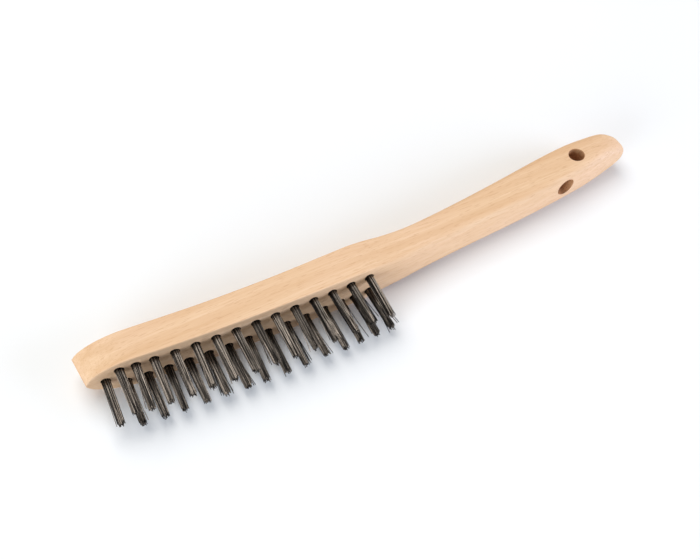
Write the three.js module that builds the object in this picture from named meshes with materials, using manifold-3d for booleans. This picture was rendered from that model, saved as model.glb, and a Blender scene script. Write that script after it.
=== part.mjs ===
// Wooden-handled steel wire scratch brush.
//
// Millimetres. The brush lies on one flat side of its block: +X runs from the nose to the tail of the
// handle, the wire tufts point along -Y, the back of the block faces +Y, and +Z is up, out of the other
// side of the block. The origin is the middle of the footprint, on the surface the brush lies on. While
// it is being built, X is measured from the nose and Y from the lowest point of the block's tuft side.
//
// Pieces: one wooden body (block and handle cut from a single piece, drilled), 29 wire tufts set in
// two staggered rows of fourteen and one at the nose, and 29 flat steel anchors that hold them.

import * as THREE from "three";
import { mergeVertices } from "three/addons/utils/BufferGeometryUtils.js";
import Module from "manifold-3d";

// Body
const LENGTH = 288.2;
const NOSE_RAKE = 1.9;
const NOSE_RAKE_LENGTH = 26;
const BLOCK_HALF_WIDTH = 11.1;
const NOSE_LENGTH = 25;
const NOSE_TIP_HALF_WIDTH = 1.2;
const NOSE_FULLNESS = 0.6;
const BLOCK_EDGE_RADIUS = 0.8;
const HANDLE_EDGE_RADIUS = 3.5;

// Side view of the body: distance from the nose, then height above the lowest point of the tuft side.
const TUFT_SIDE = [
  [0, 8.1], [30, 4.85], [60, 2.4], [90, 0.85], [120, 0.1], [135, 0], [150, 0], [165, 0.8],
  [190, 2.1], [215, 3.3], [240, 5.2], [260, 7.3], [272, 9.0], [279, 10.2], [283.5, 10.8], [286.4, 11.5],
  [LENGTH, 12.4],
];
const BACK = [
  [0, 24.2], [15, 22.8], [30, 21.4], [60, 19.0], [90, 17.7], [115, 17.5], [132, 17.5], [142, 17.4],
  [150, 16.9], [160, 16.6], [172, 17.2], [195, 19.2], [219, 21.7], [244, 24.6], [257, 25.6], [268, 25.9],
  [274, 25.9], [280, 25.6], [283.6, 24.8], [286.2, 23.1], [287.6, 21.3], [LENGTH, 19.4],
];
// Plan view: distance from the nose, then half the width.
const HALF_WIDTH = [
  [25, 11.1], [132, 11.1], [138, 10.6], [148, 9.6], [160, 9.2], [200, 9.1], [250, 9.3], [270, 9.2],
  [276, 8.9], [280, 8.3], [283.5, 7.1], [286, 5.7], [287.5, 4.5], [LENGTH, 3.6],
];
// Rounding of the long edges: crisp on the block, soft on the handle.
const EDGE_RADIUS = [
  [0, BLOCK_EDGE_RADIUS], [128, BLOCK_EDGE_RADIUS], [148, 1.8], [172, 3.0], [200, HANDLE_EDGE_RADIUS],
  [258, HANDLE_EDGE_RADIUS], [278, 5.0], [284, 5.0], [LENGTH, 2.8],
];
// Stretches of the length and how many slices each is built from.
const SLICES = [
  { from: 0, to: 16, count: 9, crowd: "start" },
  { from: 16, to: 128, count: 12 },
  { from: 128, to: 172, count: 11 },
  { from: 172, to: 258, count: 8 },
  { from: 258, to: LENGTH, count: 12, crowd: "end" },
];
const POINTS_PER_CORNER = 5;

// Tufts
const PITCH = 9.43;
const ROW_OFFSET = 5.3;
const NOSE_TUFT_X = 8.6;
const UPPER_ROW = { start: 15.8, gaps: [7.4, 8.2, ...Array(11).fill(PITCH)] };
const LOWER_ROW = { start: 16.9, gaps: [...Array(10).fill(PITCH), 8.7, 7.1, 7.8] };
const HOLE_RADIUS = 2.3;
const HOLE_DEPTH = 11.5;
const TRIM = 23.3;
const TRIM_SPREAD = 0.6;
const TUFT_FOOT_RADIUS = 1.8;
const TUFT_MOUTH_RADIUS = 2.0;
const TUFT_MIDDLE_RADIUS = 2.2;
const TUFT_TIP_RADIUS = 2.5;
const TUFT_FOLD_GAP = 0.4;
const FLUTE_DEPTH = 0.38;
const FLUTES = 8;
const MAX_LEAN = 0.03;

// Anchors
const ANCHOR = { x: 0.4, y: 2.0, z: 5.4 };
const ANCHOR_ABOVE_FLOOR = 2.6;
const CLEARANCE = 0.25;

// Hanging holes. The one to the back is drilled a little above the middle of the width.
const CROSS_HOLE = { x: 260.3, y: 16.2, radius: 4 };
const BACK_HOLE = { x: 248.6, aboveMiddle: 1.4, radius: 4.9 };
const HANG_HOLE_SIDES = 28;

const wasm = await Module();
wasm.setup();

// Value at x of a smooth curve through stations of [x, value], level wherever the stations stop rising
// or falling so that it never passes beyond them.
function along(stations, x) {
  const last = stations.length - 1;
  if (x <= stations[0][0]) return stations[0][1];
  if (x >= stations[last][0]) return stations[last][1];
  const i = stations.findIndex(([stationX]) => stationX > x) - 1;
  const slope = (k) => {
    const before = stations[Math.max(k - 1, 0)];
    const after = stations[Math.min(k + 1, last)];
    const turns = (stations[k][1] - before[1]) * (after[1] - stations[k][1]) <= 0;
    if (turns && k > 0 && k < last) return 0;
    return (after[1] - before[1]) / (after[0] - before[0]);
  };
  const [x0, v0] = stations[i];
  const [x1, v1] = stations[i + 1];
  const span = x1 - x0;
  const t = (x - x0) / span;
  const t2 = t * t;
  const t3 = t2 * t;
  return (2 * t3 - 3 * t2 + 1) * v0 + (t3 - 2 * t2 + t) * span * slope(i)
    + (3 * t2 - 2 * t3) * v1 + (t3 - t2) * span * slope(i + 1);
}

// Half the width: a full, rounded nose, then the stations of the plan view.
function halfWidth(x) {
  if (x >= NOSE_LENGTH) return along(HALF_WIDTH, x);
  const roundness = (1 - (1 - x / NOSE_LENGTH) ** 2) ** NOSE_FULLNESS;
  return Math.max(NOSE_TIP_HALF_WIDTH, BLOCK_HALF_WIDTH * roundness);
}

function section(x) {
  const low = along(TUFT_SIDE, x);
  const high = along(BACK, x);
  const half = halfWidth(x);
  const radius = Math.min(along(EDGE_RADIUS, x), 0.85 * half, 0.45 * (high - low));
  return { low, high, half, radius };
}

// A stretch's slices, bunched up towards one end when it says so.
function slicePositions() {
  const positions = [0];
  for (const { from, to, count, crowd } of SLICES) {
    for (let i = 1; i <= count; i++) {
      let t = i / count;
      if (crowd === "start") t = t ** 2;
      if (crowd === "end") t = 1 - (1 - t) ** 2;
      positions.push(from + (to - from) * t);
    }
  }
  return positions;
}

// Carries a plain cylinder onto the body: each of its rings becomes a rounded rectangle, and the nose
// is raked forwards a little from the tuft side to the back.
function bodyBlank() {
  const positions = slicePositions();
  const slices = positions.length - 1;
  const sides = 4 * POINTS_PER_CORNER;
  const geometry = new THREE.CylinderGeometry(1, 1, 1, sides, slices);
  const point = geometry.getAttribute("position");
  for (let i = 0; i < point.count; i++) {
    const x = positions[Math.round((0.5 - point.getY(i)) * slices)];
    const { low, high, half, radius } = section(x);
    const rake = NOSE_RAKE * Math.max(1 - x / NOSE_RAKE_LENGTH, 0) ** 2;
    let y = (low + high) / 2;
    let z = BLOCK_HALF_WIDTH;
    if (Math.hypot(point.getX(i), point.getZ(i)) > 0.5) {
      const turn = Math.atan2(point.getX(i), point.getZ(i)) / (2 * Math.PI);
      const step = Math.round((turn + 1) * sides) % sides;
      const corner = Math.floor(step / POINTS_PER_CORNER);
      const within = (step % POINTS_PER_CORNER) / (POINTS_PER_CORNER - 1);
      const angle = (corner + within) * (Math.PI / 2);
      const middle = (corner + 0.5) * (Math.PI / 2);
      y += Math.sign(Math.sin(middle)) * ((high - low) / 2 - radius) + radius * Math.sin(angle);
      z += Math.sign(Math.cos(middle)) * (half - radius) + radius * Math.cos(angle);
    }
    point.setXYZ(i, x - rake * (y - low) / (high - low), y, z);
  }
  return geometry;
}

function toSolid(geometry) {
  const bare = geometry.index ? geometry.toNonIndexed() : geometry.clone();
  bare.deleteAttribute("normal");
  bare.deleteAttribute("uv");
  const merged = mergeVertices(bare, 1e-4);
  return new wasm.Manifold(
    new wasm.Mesh({
      numProp: 3,
      vertProperties: merged.getAttribute("position").array,
      triVerts: new Uint32Array(merged.index.array),
    }),
  );
}

function toGeometry(solid) {
  const mesh = solid.getMesh();
  return new THREE.BufferGeometry()
    .setAttribute("position", new THREE.BufferAttribute(new Float32Array(mesh.vertProperties), 3))
    .setIndex(new THREE.BufferAttribute(new Uint32Array(mesh.triVerts), 1));
}

function box(size, centre) {
  const geometry = new THREE.BoxGeometry(size.x, size.y, size.z);
  return geometry.translate(centre.x, centre.y, centre.z);
}

function grown(size, by) {
  return { x: size.x + by, y: size.y + by, z: size.z + by };
}

// Repeatable spread of values from 0 to 1.
function spread(seed) {
  const value = Math.sin(seed * 127.1 + 11.7) * 43758.5453;
  return value - Math.floor(value);
}

// Every tuft's name, the centre of its hole's mouth and the middle of its anchor.
function tuftPlaces() {
  const places = [];
  const add = (label, x, z) => {
    const mouth = new THREE.Vector3(x, along(TUFT_SIDE, x), z);
    const anchor = mouth.clone();
    anchor.y += HOLE_DEPTH - ANCHOR_ABOVE_FLOOR;
    places.push({ label, mouth, anchor });
  };
  add("nose", NOSE_TUFT_X, BLOCK_HALF_WIDTH);
  const addRow = (name, row, z) => {
    let x = row.start;
    [0, ...row.gaps].forEach((gap, i) => {
      x += gap;
      add(name + "_" + String(i + 1).padStart(2, "0"), x, z);
    });
  };
  addRow("upper", UPPER_ROW, BLOCK_HALF_WIDTH + ROW_OFFSET);
  addRow("lower", LOWER_ROW, BLOCK_HALF_WIDTH - ROW_OFFSET);
  return places;
}

// The blind hole of one tuft, with the two slots that its anchor's ends bite into.
function tuftHole({ mouth, anchor }) {
  const overrun = 3;
  const drill = new THREE.CylinderGeometry(HOLE_RADIUS, HOLE_RADIUS, HOLE_DEPTH + overrun, 14);
  drill.translate(mouth.x, mouth.y + (HOLE_DEPTH - overrun) / 2, mouth.z);
  return toSolid(drill).add(toSolid(box(grown(ANCHOR, 2 * CLEARANCE), anchor)));
}

// Hole through both side faces, and hole from the tuft side to the back.
function hangHoles() {
  const through = 60;
  const cross = new THREE.CylinderGeometry(CROSS_HOLE.radius, CROSS_HOLE.radius, through, HANG_HOLE_SIDES);
  cross.rotateX(Math.PI / 2);
  cross.translate(CROSS_HOLE.x, CROSS_HOLE.y, BLOCK_HALF_WIDTH);
  const back = new THREE.CylinderGeometry(BACK_HOLE.radius, BACK_HOLE.radius, through, HANG_HOLE_SIDES);
  back.translate(BACK_HOLE.x, CROSS_HOLE.y, BLOCK_HALF_WIDTH + BACK_HOLE.aboveMiddle);
  return toSolid(cross).add(toSolid(back));
}

// A bundle of wires folded round its anchor: fluted like the wires it stands for, a little wider at
// its cut tips, with the fold's eye near its foot.
function tuft({ mouth, anchor }, seed) {
  const foot = HOLE_DEPTH - TUFT_FOLD_GAP;
  const rings = 3;
  const geometry = new THREE.CylinderGeometry(1, 1, 1, 2 * FLUTES, rings);
  const point = geometry.getAttribute("position");
  const leanX = (spread(seed) - 0.5) * 2 * MAX_LEAN;
  const leanZ = (spread(seed + 0.37) - 0.5) * 2 * MAX_LEAN;
  const levels = [foot, 0, -TRIM / 2, -TRIM];
  const radii = [TUFT_FOOT_RADIUS, TUFT_MOUTH_RADIUS, TUFT_MIDDLE_RADIUS, TUFT_TIP_RADIUS];
  for (let i = 0; i < point.count; i++) {
    const level = Math.round((0.5 - point.getY(i)) * rings);
    const turn = Math.atan2(point.getX(i), point.getZ(i)) / (2 * Math.PI);
    const step = Math.round((turn + 1) * 2 * FLUTES) % (2 * FLUTES);
    const onAxis = Math.hypot(point.getX(i), point.getZ(i)) < 0.5;
    const reach = radii[level] * (step % 2 ? 1 - FLUTE_DEPTH : 1);
    let y = levels[level];
    if (level === rings) y += (spread(seed * 3 + step + (onAxis ? 40 : 0)) - 0.5) * 2 * TRIM_SPREAD;
    const outside = Math.max(-y, 0);
    const x = onAxis ? 0 : reach * Math.sin(step * (Math.PI / FLUTES));
    const z = onAxis ? 0 : reach * Math.cos(step * (Math.PI / FLUTES));
    point.setXYZ(i, mouth.x + x + leanX * outside, mouth.y + y, mouth.z + z + leanZ * outside);
  }
  const eye = { x: ANCHOR.x + 2 * CLEARANCE, y: ANCHOR.y + 2 * CLEARANCE, z: 4 * TUFT_MOUTH_RADIUS };
  return toGeometry(toSolid(geometry).subtract(toSolid(box(eye, anchor))));
}

const brush = new THREE.Group();
brush.name = "wire_scratch_brush";

function addPiece(name, geometry, material) {
  geometry.computeVertexNormals();
  const piece = new THREE.Mesh(geometry, new THREE.MeshStandardMaterial(material));
  piece.name = name;
  brush.add(piece);
}

const BEECH = { color: 0xd9b68c, roughness: 0.65, metalness: 0 };
const WIRE_STEEL = { color: 0x5b5650, roughness: 0.45, metalness: 0.9 };
const ANCHOR_STEEL = { color: 0x8a8782, roughness: 0.4, metalness: 0.9 };

const places = tuftPlaces();
let body = toSolid(bodyBlank()).subtract(hangHoles());
for (const place of places) body = body.subtract(tuftHole(place));

addPiece("wooden_body", toGeometry(body), BEECH);
places.forEach((place, i) => {
  addPiece("tuft_" + place.label, tuft(place, i + 1), WIRE_STEEL);
  addPiece("anchor_" + place.label, box(ANCHOR, place.anchor), ANCHOR_STEEL);
});

// The finished brush is moved so that the middle of its footprint is the origin.
const extent = new THREE.Box3().setFromObject(brush);
const middle = extent.getCenter(new THREE.Vector3());
for (const piece of brush.children) piece.geometry.translate(-middle.x, -middle.y, -extent.min.z);

export default brush;
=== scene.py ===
import math
import random

import bmesh
import bpy
from mathutils import Matrix, Vector


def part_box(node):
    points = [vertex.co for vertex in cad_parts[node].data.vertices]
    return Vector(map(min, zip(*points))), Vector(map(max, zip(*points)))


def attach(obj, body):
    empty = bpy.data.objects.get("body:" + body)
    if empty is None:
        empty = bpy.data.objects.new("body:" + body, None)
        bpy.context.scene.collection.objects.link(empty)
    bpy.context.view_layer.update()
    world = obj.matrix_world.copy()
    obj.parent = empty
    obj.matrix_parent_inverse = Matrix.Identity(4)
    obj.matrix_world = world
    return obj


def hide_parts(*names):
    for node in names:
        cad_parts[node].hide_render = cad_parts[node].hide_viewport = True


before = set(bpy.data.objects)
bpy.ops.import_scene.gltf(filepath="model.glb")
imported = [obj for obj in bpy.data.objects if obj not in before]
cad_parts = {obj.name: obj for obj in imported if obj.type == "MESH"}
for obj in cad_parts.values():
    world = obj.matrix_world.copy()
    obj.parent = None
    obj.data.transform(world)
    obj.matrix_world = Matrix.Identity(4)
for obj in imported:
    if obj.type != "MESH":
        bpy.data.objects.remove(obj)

MM = 0.001
random.seed(41)
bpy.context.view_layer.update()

# --- Sizes, in millimetres ------------------------------------------------------------------------

# The body's own measure: X from the nose, Y from the lowest point of its tuft side, and Z from the
# middle of its width. The outlines are lists of (X, value).
BODY_LENGTH = 288.2
BLOCK_HALF_WIDTH = 11.1
NOSE_LENGTH = 25
NOSE_TIP_HALF_WIDTH = 1.2
NOSE_FULLNESS = 0.6
NOSE_RAKE = 1.9
NOSE_RAKE_LENGTH = 26
TUFT_SIDE = [
    (0, 8.1), (30, 4.85), (60, 2.4), (90, 0.85), (120, 0.1), (135, 0), (150, 0), (165, 0.8),
    (190, 2.1), (215, 3.3), (240, 5.2), (260, 7.3), (272, 9.0), (279, 10.2), (283.5, 10.8),
    (286.4, 11.5), (BODY_LENGTH, 12.4),
]
BACK = [
    (0, 24.2), (15, 22.8), (30, 21.4), (60, 19.0), (90, 17.7), (115, 17.5), (132, 17.5),
    (142, 17.4), (150, 16.9), (160, 16.6), (172, 17.2), (195, 19.2), (219, 21.7), (244, 24.6),
    (257, 25.6), (268, 25.9), (274, 25.9), (280, 25.6), (283.6, 24.8), (286.2, 23.1), (287.6, 21.3),
    (BODY_LENGTH, 19.4),
]
HALF_WIDTH = [
    (NOSE_LENGTH, BLOCK_HALF_WIDTH), (132, BLOCK_HALF_WIDTH), (138, 10.6), (148, 9.6), (160, 9.2),
    (200, 9.1), (250, 9.3), (270, 9.2), (276, 8.9), (280, 8.3), (283.5, 7.1), (286, 5.7),
    (287.5, 4.5), (BODY_LENGTH, 3.6),
]
EDGE_RADIUS = [
    (0, 0.8), (128, 0.8), (148, 1.8), (172, 3.0), (200, 3.5), (258, 3.5), (278, 5.0), (284, 5.0),
    (BODY_LENGTH, 2.8),
]
# The largest share of the half width and of the thickness that an edge's radius takes.
RADIUS_IN_HALF_WIDTH = 0.85
RADIUS_IN_THICKNESS = 0.45
# Stretches of the length, how many slices each has, and the end they crowd towards.
SLICES = [
    (0, 16, 26, "start"), (16, 128, 44, ""), (128, 172, 30, ""), (172, 258, 34, ""),
    (258, BODY_LENGTH, 40, "end"),
]
POINTS_PER_CORNER = 9
# Shares of the way across each flat side at which the section has a point.
FLAT_POINTS = (0.03, 0.5, 0.97)
# Meeting faces of the body look sharp past this many degrees.
BODY_SHARP_DEGREES = 32

# Tuft holes. The drill tapers to its radius between two depths, so the mouth is slightly wider.
HOLE_RADIUS = 2.3
HOLE_DEPTH = 11.5
MOUTH_WIDENING = 0.06
MOUTH_TAPER = (-0.05, 0.25)
ANCHOR_ABOVE_FLOOR = 2.6
TUFT_DRILL_START = -3
TUFT_DRILL_SIDES = 32

# The hanging hole through the side faces, as (X, Y, radius). It has a small rim, whose taper starts
# just outside each face, so that no edge of the drill lies in the face.
CROSS_HOLE = (260.3, 16.2, 4.0)
CROSS_HOLE_RIM = 0.15
RIM_STARTS_OUTSIDE = 0.02
CROSS_DRILL_REACH = 30
# The hanging hole from the tuft side to the back, as (X, Z, radius).
BACK_HOLE = (248.6, 1.4, 4.9)
BACK_DRILL_START = -15
BACK_DRILL_END = 45
HANG_DRILL_SIDES = 64

# Wires. Each is folded round the anchor, with two legs that end in cut tips.
WIRES_PER_TUFT = 26
WIRE_RADIUS = 0.17
WIRE_SHARP_DEGREES = 50
TUFT_RADIUS = 1.95
TRIM = 23.3
TRIM_SPREAD = (-1.3, 0.6)
LEG_STEPS = 6
# A tip's distance from the tuft's middle, as a share of the same leg's at the mouth.
TIP_GATHER = (0.7, 0.9)
# Standard deviations of a tip's place and of a leg's bow.
TIP_SCATTER = 0.2
BOW = 0.05
# How far a whole tuft leans, per millimetre of its length.
LEAN = 0.02
# Folds stand in a row along the anchor, in layers: the first layer's distance from the anchor's
# middle, and the step to the next.
FOLD_LAYERS = 4
FIRST_LAYER = 0.45
LAYER_STEP = 0.32
FOLD_HALF_ROW = 1.5
FOLD_ABOVE_ANCHOR = 0.9
# The point between an eye's side and its top: its share of the layer, and its drop below the top.
SHOULDER_SHARE = 0.7
SHOULDER_DROP = 0.3
# Stray legs splay out past the tuft: the share of all legs, and of the legs of the wilder tufts.
STRAY_SHARE = 0.03
WILD_TUFTS = {
    "tuft_lower_05": 0.1, "tuft_lower_06": 0.08, "tuft_upper_11": 0.1, "tuft_upper_14": 0.12,
    "tuft_lower_14": 0.1, "tuft_upper_08": 0.07,
}
STRAY_REACH = (1.0, 2.6)
STRAY_TURN = 0.6
STRAY_BEND = 1.5

# Wires step through the tones by this much of their range. The power makes most of them dark.
TONE_STEP = 0.618
TONE_POWER = 2.1

# How far painted shade darkens the wood between the tufts, where they shadow it. It is darkest
# where the wood faces straight along the tufts, and fades in and out along X.
PAINTED_SHADE = 0.4
PAINTED_SHADE_FACING = (0.35, 0.95)
PAINTED_SHADE_FADES_IN = (-14, 28)
PAINTED_SHADE_FADES_OUT = (88, 130)

low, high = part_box("wooden_body")
BODY_TAIL = high.x
BODY_FLOOR = low.y
MIDDLE_Z = (low.z + high.z) / 2


def place(x, y, z):
    """A point of the body's own measure in the row frame."""
    return Vector((BODY_TAIL + (x - BODY_LENGTH) * MM, BODY_FLOOR + y * MM, MIDDLE_Z + z * MM))


# --- Shapes ---------------------------------------------------------------------------------------


def along(stations, x):
    """Value at x of a smooth curve through the stations, level wherever it turns."""
    last = len(stations) - 1
    if x <= stations[0][0]:
        return stations[0][1]
    if x >= stations[last][0]:
        return stations[last][1]
    i = next(k for k in range(last) if stations[k + 1][0] > x)

    def slope(k):
        before = stations[max(k - 1, 0)]
        after = stations[min(k + 1, last)]
        turns = (stations[k][1] - before[1]) * (after[1] - stations[k][1]) <= 0
        if turns and 0 < k < last:
            return 0
        return (after[1] - before[1]) / (after[0] - before[0])

    x0, v0 = stations[i]
    x1, v1 = stations[i + 1]
    span = x1 - x0
    t = (x - x0) / span
    return (
        (2 * t**3 - 3 * t**2 + 1) * v0
        + (t**3 - 2 * t**2 + t) * span * slope(i)
        + (3 * t**2 - 2 * t**3) * v1
        + (t**3 - t**2) * span * slope(i + 1)
    )


def fade(value, start, end):
    """0 before start, 1 after end, and a smooth rise between them."""
    t = min(max((value - start) / (end - start), 0), 1)
    return t * t * (3 - 2 * t)


def half_width(x):
    if x >= NOSE_LENGTH:
        return along(HALF_WIDTH, x)
    roundness = (1 - (1 - x / NOSE_LENGTH) ** 2) ** NOSE_FULLNESS
    return max(NOSE_TIP_HALF_WIDTH, BLOCK_HALF_WIDTH * roundness)


def ring(x):
    """The rounded rectangle of the body's section at x, as points in the row frame."""
    bottom = along(TUFT_SIDE, x)
    top = along(BACK, x)
    half = half_width(x)
    radius = min(
        along(EDGE_RADIUS, x), RADIUS_IN_HALF_WIDTH * half, RADIUS_IN_THICKNESS * (top - bottom)
    )
    rake = NOSE_RAKE * max(1 - x / NOSE_RAKE_LENGTH, 0) ** 2
    outline = []
    for corner in range(4):
        middle = (corner + 0.5) * math.pi / 2
        reach_y = (top - bottom) / 2 - radius
        centre_y = (bottom + top) / 2 + math.copysign(reach_y, math.sin(middle))
        centre_z = math.copysign(half - radius, math.cos(middle))
        for k in range(POINTS_PER_CORNER):
            angle = (corner + k / (POINTS_PER_CORNER - 1)) * math.pi / 2
            y = centre_y + radius * math.sin(angle)
            z = centre_z + radius * math.cos(angle)
            outline.append((y, z))
    points = []
    for i, (y, z) in enumerate(outline):
        points.append((y, z))
        if i % POINTS_PER_CORNER == POINTS_PER_CORNER - 1:
            next_y, next_z = outline[(i + 1) % len(outline)]
            for t in FLAT_POINTS:
                points.append((y + (next_y - y) * t, z + (next_z - z) * t))
    return [place(x - rake * (y - bottom) / (top - bottom), y, z) for y, z in points]


def slice_positions():
    positions = [0]
    for start, end, count, crowd in SLICES:
        for i in range(1, count + 1):
            t = i / count
            if crowd == "start":
                t = t**2
            if crowd == "end":
                t = 1 - (1 - t) ** 2
            positions.append(start + (end - start) * t)
    return positions


def body_blank():
    """The body's mesh before any hole is drilled."""
    bm = bmesh.new()
    rings = [[bm.verts.new(p) for p in ring(x)] for x in slice_positions()]
    for a, b in zip(rings, rings[1:]):
        for k in range(len(a)):
            n = (k + 1) % len(a)
            bm.faces.new((a[k], b[k], b[n], a[n]))
    bm.faces.new(rings[0])
    bm.faces.new(list(reversed(rings[-1])))
    bmesh.ops.recalc_face_normals(bm, faces=bm.faces)
    mesh = bpy.data.meshes.new("wooden_body_shape")
    bm.to_mesh(mesh)
    bm.free()
    return mesh


def add_drill(bm, base, direction, profile, sides):
    """A closed turned cutter: profile is a list of (distance along direction, radius)."""
    turn = direction.to_track_quat("Z", "Y").to_matrix().to_4x4()
    matrix = Matrix.Translation(base) @ turn
    rings = []
    for distance, radius in profile:
        circle = []
        for k in range(sides):
            angle = 2 * math.pi * k / sides
            spot = Vector((radius * math.cos(angle), radius * math.sin(angle), distance)) * MM
            circle.append(bm.verts.new(matrix @ spot))
        rings.append(circle)
    faces = [bm.faces.new(list(reversed(rings[0]))), bm.faces.new(rings[-1])]
    for a, b in zip(rings, rings[1:]):
        for k in range(sides):
            n = (k + 1) % sides
            faces.append(bm.faces.new((a[k], a[n], b[n], b[k])))
    return faces


def new_object(name, data, *materials):
    item = bpy.data.objects.new(name, data)
    bpy.context.scene.collection.objects.link(item)
    for material in materials:
        data.materials.append(material)
    return item


def finished_mesh(item, name):
    """The item's mesh with its modifiers or bevel applied. The item itself is removed."""
    bpy.context.view_layer.update()
    graph = bpy.context.evaluated_depsgraph_get()
    mesh = bpy.data.meshes.new_from_object(item.evaluated_get(graph))
    mesh.name = name
    bpy.data.objects.remove(item)
    return mesh


def shade(mesh, sharp_degrees):
    """Smooth faces, with a crisp edge wherever they meet at more than this angle."""
    mesh.polygons.foreach_set("use_smooth", [True] * len(mesh.polygons))
    mesh.set_sharp_from_angle(angle=math.radians(sharp_degrees))


# --- Materials ------------------------------------------------------------------------------------


class Nodes:
    """A new node material and short ways to add to it."""

    def __init__(self, name):
        self.material = bpy.data.materials.new(name)
        self.material.use_nodes = True
        self.tree = self.material.node_tree
        self.shader = next(n for n in self.tree.nodes if n.type == "BSDF_PRINCIPLED")

    def add(self, kind, **settings):
        node = self.tree.nodes.new(kind)
        for key, value in settings.items():
            if key in node.inputs:
                node.inputs[key].default_value = value
            else:
                setattr(node, key, value)
        return node

    def link(self, source, target):
        self.tree.links.new(source, target)

    def stretched(self, scale):
        """Object coordinates scaled differently along each axis."""
        coordinates = self.add("ShaderNodeTexCoord")
        mapping = self.add("ShaderNodeMapping", Scale=scale)
        self.link(coordinates.outputs["Object"], mapping.inputs["Vector"])
        return mapping.outputs["Vector"]

    def noise(self, scale, detail=2.0, roughness=0.5, distortion=0.0):
        node = self.add(
            "ShaderNodeTexNoise",
            Scale=1.0, Detail=detail, Roughness=roughness, Distortion=distortion,
        )
        self.link(self.stretched(scale), node.inputs["Vector"])
        return node.outputs["Fac"]

    def attribute(self, name):
        return self.add("ShaderNodeAttribute", attribute_name=name).outputs["Fac"]

    def remap(self, value, from_low, from_high, to_low=0.0, to_high=1.0):
        node = self.add("ShaderNodeMapRange")
        sockets = ("From Min", "From Max", "To Min", "To Max")
        for socket, number in zip(sockets, (from_low, from_high, to_low, to_high)):
            node.inputs[socket].default_value = number
        self.link(value, node.inputs["Value"])
        return node.outputs["Result"]

    def mix(self, factor, a, b):
        """Colour a where the factor is 0 and b where it is 1. Each may be a value or a socket."""
        node = self.add("ShaderNodeMix", data_type="RGBA")
        colours = [s for s in node.inputs if s.type == "RGBA"]
        for socket, value in ((node.inputs[0], factor), (colours[0], a), (colours[1], b)):
            if isinstance(value, bpy.types.NodeSocket):
                self.link(value, socket)
            else:
                socket.default_value = value
        return next(s for s in node.outputs if s.type == "RGBA")

    def bump(self, height, strength, distance):
        node = self.add("ShaderNodeBump", Strength=strength, Distance=distance)
        self.link(height, node.inputs["Height"])
        return node.outputs["Normal"]

    def finish(self, colour, roughness, normal=None):
        """Join up the shader. The roughness may be a value or a socket."""
        self.link(colour, self.shader.inputs["Base Color"])
        if isinstance(roughness, bpy.types.NodeSocket):
            self.link(roughness, self.shader.inputs["Roughness"])
        else:
            self.shader.inputs["Roughness"].default_value = roughness
        if normal:
            self.link(normal, self.shader.inputs["Normal"])
        return self.material


def rgb(red, green, blue):
    """A colour given as 0-255 sRGB values."""
    def linear(value):
        value /= 255
        return value / 12.92 if value <= 0.04045 else ((value + 0.055) / 1.055) ** 2.4
    return (linear(red), linear(green), linear(blue), 1.0)


# The colour of the painted shade between the tufts.
PAINTED_SHADE_COLOUR = rgb(104, 84, 68)


def beech(name, light, dark, pink, fleck, fleck_strength):
    """Beech with its grain along X: growth bands, pinkish patches, fine fibres and short flecks."""
    n = Nodes(name)
    bands = n.remap(n.noise((5, 230, 230), detail=3, roughness=0.6, distortion=0.3), 0.35, 0.68)
    fibres = n.remap(n.noise((40, 1300, 1300), detail=2, roughness=0.6), 0.35, 0.7)
    patches = n.remap(n.noise((14, 40, 40), detail=1), 0.4, 0.75)
    flecks = n.remap(n.noise((210, 2400, 2400), detail=1, roughness=0.4), 0.6, 0.7)
    colour = n.mix(bands, light, dark)
    colour = n.mix(n.remap(patches, 0, 1, 0, 0.55), colour, pink)
    colour = n.mix(n.remap(fibres, 0, 1, 0, 0.6), colour, dark)
    colour = n.mix(n.remap(flecks, 0, 1, 0, fleck_strength), colour, fleck)
    # Painted shade: the wood between the tufts is darkened where the tufts shadow it.
    colour = n.mix(n.attribute("tuft_side_painted_shade"), colour, PAINTED_SHADE_COLOUR)
    n.shader.inputs["Specular IOR Level"].default_value = 0.35
    return n.finish(colour, n.remap(fibres, 0, 1, 0.52, 0.68), n.bump(fibres, 0.12, 0.0001))


wood = beech(
    "beech", light=rgb(232, 195, 157), dark=rgb(219, 176, 134), pink=rgb(234, 195, 163),
    fleck=rgb(196, 144, 102), fleck_strength=0.42,
)
# The hanging holes' walls: darker end-grain wood, and darker still with painted shade of the hole.
bored_and_shaded_wood = beech(
    "beech_bored_and_shaded", light=rgb(222, 176, 132), dark=rgb(176, 124, 82), pink=rgb(205, 150, 108),
    fleck=rgb(120, 80, 50), fleck_strength=0.6,
)
# The tuft holes' walls: scorched by the drill, and darker still with painted shade of the deep hole.
scorched_and_shaded_wood = beech(
    "beech_scorched_and_shaded", light=rgb(96, 66, 44), dark=rgb(58, 38, 26), pink=rgb(84, 56, 38),
    fleck=rgb(40, 26, 18), fleck_strength=0.6,
)


def steel(name, dark, light, roughness):
    """Drawn steel. Its tone follows the wire_tone attribute, and it is dark where there is none."""
    n = Nodes(name)
    drawn = n.remap(n.noise((5000, 160, 5000), detail=2), 0.3, 0.7)
    colour = n.mix(n.attribute("wire_tone"), dark, light)
    colour = n.mix(n.remap(drawn, 0, 1, 0, 0.4), colour, dark)
    n.shader.inputs["Metallic"].default_value = 0.85
    shine = n.remap(drawn, 0, 1, roughness - 0.08, roughness + 0.1)
    return n.finish(colour, shine, n.bump(drawn, 0.15, 0.00003))


wire_steel = steel("wire_steel", rgb(16, 13, 11), rgb(158, 146, 135), 0.26)
anchor_steel = steel("anchor_steel", rgb(120, 116, 110), rgb(165, 162, 158), 0.32)

# --- Wooden body ----------------------------------------------------------------------------------

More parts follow.
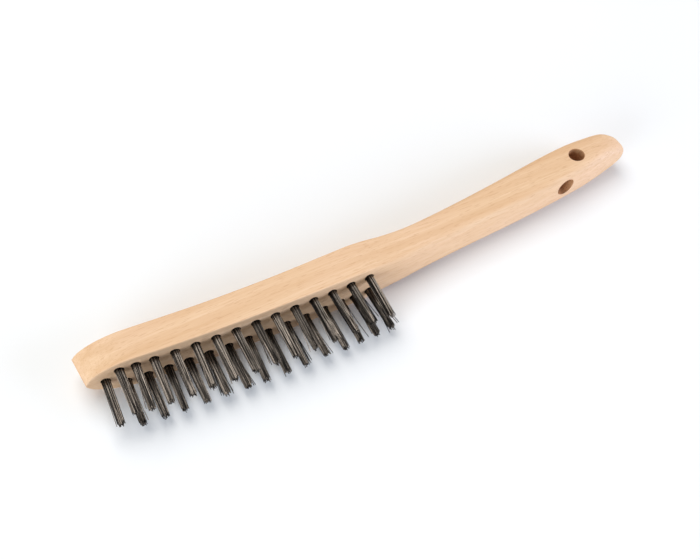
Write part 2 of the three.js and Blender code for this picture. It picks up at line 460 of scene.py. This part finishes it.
# Each tuft's node name, the middle of its hole's mouth, and the middle of its anchor.
tufts = []
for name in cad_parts:
    if name.startswith("tuft_"):
        label = name[len("tuft_"):]
        anchor_low, anchor_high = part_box("anchor_" + label)
        anchor = (anchor_low + anchor_high) / 2
        mouth = anchor - Vector((0, (HOLE_DEPTH - ANCHOR_ABOVE_FLOOR) * MM, 0))
        tufts.append((name, mouth, anchor))
tufts.sort(key=lambda tuft: tuft[0])

ACROSS = Vector((0, 0, 1))
INTO_BODY = Vector((0, 1, 0))
# The drills' two materials, which their faces hand on to the holes' walls.
BORED_AND_SHADED, SCORCHED_AND_SHADED = 0, 1

cutters = bmesh.new()
mouth_radius = HOLE_RADIUS + MOUTH_WIDENING
tuft_profile = [
    (TUFT_DRILL_START, mouth_radius), (MOUTH_TAPER[0], mouth_radius),
    (MOUTH_TAPER[1], HOLE_RADIUS), (HOLE_DEPTH, HOLE_RADIUS),
]
for _, mouth, _ in tufts:
    for face in add_drill(cutters, mouth, INTO_BODY, tuft_profile, TUFT_DRILL_SIDES):
        face.material_index = SCORCHED_AND_SHADED
cross_x, cross_y, cross_radius = CROSS_HOLE
cross_half = half_width(cross_x)
wide = cross_radius + CROSS_HOLE_RIM
cross_profile = [
    (-CROSS_DRILL_REACH, wide), (-cross_half - RIM_STARTS_OUTSIDE, wide),
    (-cross_half + CROSS_HOLE_RIM, cross_radius), (cross_half - CROSS_HOLE_RIM, cross_radius),
    (cross_half + RIM_STARTS_OUTSIDE, wide), (CROSS_DRILL_REACH, wide),
]
back_x, back_z, back_radius = BACK_HOLE
back_profile = [(BACK_DRILL_START, back_radius), (BACK_DRILL_END, back_radius)]
hanging_drills = (
    (place(cross_x, cross_y, 0), ACROSS, cross_profile),
    (place(back_x, 0, back_z), INTO_BODY, back_profile),
)
for base, direction, profile in hanging_drills:
    for face in add_drill(cutters, base, direction, profile, HANG_DRILL_SIDES):
        face.material_index = BORED_AND_SHADED
cutter_mesh = bpy.data.meshes.new("drills")
cutters.to_mesh(cutter_mesh)
cutters.free()
cutter = new_object("drills", cutter_mesh, bored_and_shaded_wood, scorched_and_shaded_wood)

blank = new_object("wooden_body_blank", body_blank(), wood, bored_and_shaded_wood, scorched_and_shaded_wood)
cut = blank.modifiers.new("holes", "BOOLEAN")
cut.operation = "DIFFERENCE"
cut.solver = "EXACT"
cut.object = cutter
cut.material_mode = "TRANSFER"
body_mesh = finished_mesh(blank, "wooden_body_visual")
bpy.data.objects.remove(cutter)
shade(body_mesh, BODY_SHARP_DEGREES)
# Painted shade between the tufts, kept per point for the wood's material.
painted_shade_attribute = body_mesh.attributes.new("tuft_side_painted_shade", "FLOAT", "POINT")
for spot, vertex in zip(painted_shade_attribute.data, body_mesh.vertices):
    facing_tufts = fade(-vertex.normal.y, *PAINTED_SHADE_FACING)
    from_nose = (vertex.co.x - place(0, 0, 0).x) / MM
    among_tufts = fade(from_nose, *PAINTED_SHADE_FADES_IN) * (1 - fade(from_nose, *PAINTED_SHADE_FADES_OUT))
    spot.value = PAINTED_SHADE * facing_tufts * among_tufts
body = new_object("wooden_body_visual", body_mesh)
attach(body, "root")
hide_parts("wooden_body")

# --- Wire tufts -----------------------------------------------------------------------------------


def disc_spots(count, radius):
    """Evenly spread places on a disc."""
    golden_angle = math.pi * (3 - math.sqrt(5))
    spots = []
    for i in range(count):
        out = radius * math.sqrt((i + 0.5) / count)
        spots.append((out * math.cos(i * golden_angle), out * math.sin(i * golden_angle)))
    return spots


def leg(mouth_spot, lean, stray):
    """A wire's leg, from the hole's mouth to its cut tip: (x, y, z) from the mouth's middle."""
    x, z = mouth_spot
    gather = random.uniform(*TIP_GATHER)
    tip_x = x * gather + random.gauss(0, TIP_SCATTER)
    tip_z = z * gather + random.gauss(0, TIP_SCATTER)
    if stray:
        angle = math.atan2(z, x) + random.uniform(-STRAY_TURN, STRAY_TURN)
        reach = random.uniform(*STRAY_REACH)
        tip_x += reach * math.cos(angle)
        tip_z += reach * math.sin(angle)
    length = TRIM + random.uniform(*TRIM_SPREAD)
    bow_x = random.gauss(0, BOW)
    bow_z = random.gauss(0, BOW)
    points = []
    for k in range(LEG_STEPS + 1):
        t = k / LEG_STEPS
        bend = t**STRAY_BEND if stray else t
        bow = math.sin(math.pi * t)
        out = length * t
        points.append((
            x + (tip_x - x) * bend + bow_x * bow + lean[0] * out,
            -out,
            z + (tip_z - z) * bend + bow_z * bow + lean[1] * out,
        ))
    return points


def eye(i, anchor_y):
    """Wire i's way round the anchor, as (x, y, z) from the middle of the hole's mouth."""
    layer = FIRST_LAYER + LAYER_STEP * (i % FOLD_LAYERS)
    across = -FOLD_HALF_ROW + 2 * FOLD_HALF_ROW * i / (WIRES_PER_TUFT - 1)
    top = anchor_y + FOLD_ABOVE_ANCHOR + layer
    shoulder = layer * SHOULDER_SHARE
    return [
        (-layer, anchor_y, across), (-shoulder, top - SHOULDER_DROP, across), (0, top, across),
        (shoulder, top - SHOULDER_DROP, across), (layer, anchor_y, across),
    ]


def tuft_curve(name, mouth, anchor, stray_share):
    """All of a tuft's wires, each a spline from one cut tip round the anchor to the other."""
    curve = bpy.data.curves.new(name, "CURVE")
    curve.dimensions = "3D"
    curve.bevel_depth = WIRE_RADIUS * MM
    curve.bevel_resolution = 1
    curve.use_fill_caps = True
    lean = (random.uniform(-LEAN, LEAN), random.uniform(-LEAN, LEAN))
    spots = sorted(disc_spots(2 * WIRES_PER_TUFT, TUFT_RADIUS), key=lambda spot: spot[0])
    left = sorted(spots[:WIRES_PER_TUFT], key=lambda spot: spot[1])
    right = sorted(spots[WIRES_PER_TUFT:], key=lambda spot: spot[1])
    anchor_y = (anchor.y - mouth.y) / MM
    for i, (a, b) in enumerate(zip(left, right)):
        stray_a = random.random() < stray_share
        stray_b = random.random() < stray_share
        path = list(reversed(leg(a, lean, stray_a))) + eye(i, anchor_y) + leg(b, lean, stray_b)
        spline = curve.splines.new("POLY")
        spline.points.add(len(path) - 1)
        for point, (x, y, z) in zip(spline.points, path):
            point.co = (mouth.x + x * MM, mouth.y + y * MM, mouth.z + z * MM, 1)
    return curve


for name, mouth, anchor in tufts:
    curve = tuft_curve(name + "_wires", mouth, anchor, WILD_TUFTS.get(name, STRAY_SHARE))
    mesh = finished_mesh(new_object(name + "_curve", curve), name + "_wires")
    shade(mesh, WIRE_SHARP_DEGREES)
    mesh.materials.clear()
    # Every wire has the same number of vertices, one wire after another.
    first = random.random()
    tones = [((first + TONE_STEP * k) % 1) ** TONE_POWER for k in range(WIRES_PER_TUFT)]
    count = len(mesh.vertices)
    wire_tone = mesh.attributes.new("wire_tone", "FLOAT", "POINT")
    wire_tone.data.foreach_set("value", [tones[i * WIRES_PER_TUFT // count] for i in range(count)])
    wires = new_object(name + "_wires", mesh, wire_steel)
    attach(wires, "root")
    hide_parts(name)

for name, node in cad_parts.items():
    if name.startswith("anchor_"):
        node.data.materials.clear()
        node.data.materials.append(anchor_steel)

# --- Floor, light and camera ----------------------------------------------------------------------

# In metres, except the camera's place in the body's measure, and its lens and sensor in millimetres.
FLOOR_HALF_SIDE = 6
WORLD_STRENGTH = 0.3
# Name, place, diameter, watts and colour of each light. They all point at the brush.
LIGHTS = [
    ("top", (-0.1, 0.65, 1.42), 1.6, 20, (1, 1, 0.98)),
    ("front_left", (-1.35, -0.7, 0.3), 1.1, 20.5, (0.75, 0.88, 1)),
    ("front_right", (1.2, -0.9, 0.25), 1.1, 26, (0.66, 0.77, 1)),
]
AZIMUTH = math.radians(-24.3)
ELEVATION = math.radians(56.2)
ROLL = math.radians(-2.4)
CAMERA_SPOT = place(33.3, -203.7, 343.8)
LENS = 45.2
SENSOR_WIDTH = 36
CLIP_START = 0.01

n = Nodes("pale_floor")
pale = n.remap(n.noise((3, 3, 3), detail=2), 0.3, 0.7)
pale_floor = n.finish(n.mix(pale, (0.88, 0.865, 0.85, 1), (0.91, 0.895, 0.88, 1)), 0.9)
bm = bmesh.new()
bmesh.ops.create_grid(bm, x_segments=1, y_segments=1, size=FLOOR_HALF_SIDE)
floor_mesh = bpy.data.meshes.new("floor")
bm.to_mesh(floor_mesh)
bm.free()
floor = new_object("floor", floor_mesh, pale_floor)

scene = bpy.context.scene
scene.view_settings.view_transform = "Standard"
world = bpy.data.worlds.new("studio")
world.use_nodes = True
world.node_tree.nodes["Background"].inputs["Color"].default_value = (1, 1, 1, 1)
world.node_tree.nodes["Background"].inputs["Strength"].default_value = WORLD_STRENGTH
scene.world = world

for name, spot, diameter, watts, colour in LIGHTS:
    light = bpy.data.lights.new(name, "AREA")
    light.shape = "DISK"
    light.size = diameter
    light.energy = watts
    light.color = colour
    lamp = new_object(name, light)
    lamp.location = spot
    lamp.rotation_euler = (-Vector(spot)).to_track_quat("-Z", "Y").to_euler()

back = Vector((
    math.sin(AZIMUTH) * math.cos(ELEVATION), -math.cos(AZIMUTH) * math.cos(ELEVATION),
    math.sin(ELEVATION),
))
level = Vector((math.cos(AZIMUTH), math.sin(AZIMUTH), 0))
upright = back.cross(level)
right = level * math.cos(ROLL) + upright * math.sin(ROLL)
up = back.cross(right)
camera_data = bpy.data.cameras.new("camera")
camera_data.sensor_width = SENSOR_WIDTH
camera_data.lens = LENS
camera_data.clip_start = CLIP_START
camera = new_object("camera", camera_data)
facing = Matrix((right, up, back)).transposed().to_4x4()
camera.matrix_world = Matrix.Translation(CAMERA_SPOT) @ facing
scene.camera = camera
